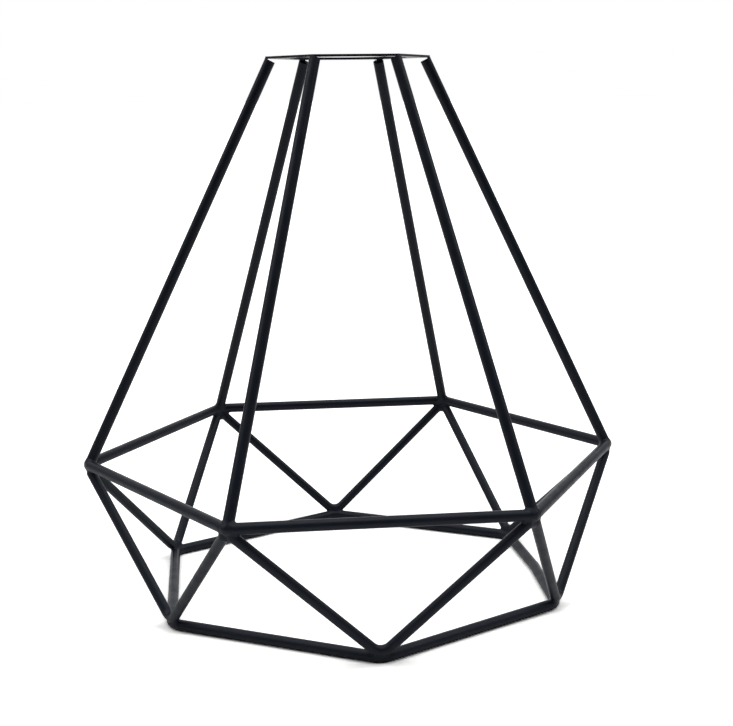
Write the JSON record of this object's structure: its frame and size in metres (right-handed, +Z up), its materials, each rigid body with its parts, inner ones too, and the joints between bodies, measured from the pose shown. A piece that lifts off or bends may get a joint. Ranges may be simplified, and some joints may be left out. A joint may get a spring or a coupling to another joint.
{
  "type": "pendant lampshade",
  "caption": "Open cage lampshade of black welded steel rod: a small hexagonal plate with a lampholder hole, rods spreading to a wide waist hexagon, V-bent rods below and a smaller base hexagon.",
  "frame": {"origin": "on the surface that the base hexagon stands on, on the axis of the lampholder hole", "axes": "+Z up along the axis of the lampholder hole, +X towards a waist corner, the bowed side of the base hexagon"},
  "size_m": [0.2006, 0.1754, 0.1975],
  "materials": {
    "powder_coat": "satin black powder coat over welded mild steel"
  },
  "bodies": {
    "root": {"top_plate": "powder_coat", "upper_strut_right": "powder_coat", "upper_strut_back_right": "powder_coat", "upper_strut_back_left": "powder_coat", "upper_strut_left": "powder_coat", "upper_strut_front_left": "powder_coat", "upper_strut_front_right": "powder_coat", "waist_ring": "powder_coat", "lower_v_front": "powder_coat", "lower_v_front_right": "powder_coat", "lower_v_back_right": "powder_coat", "lower_v_back": "powder_coat", "lower_v_back_left": "powder_coat", "lower_v_front_left": "powder_coat", "base_ring": "powder_coat"}
  },
  "joints": []
}
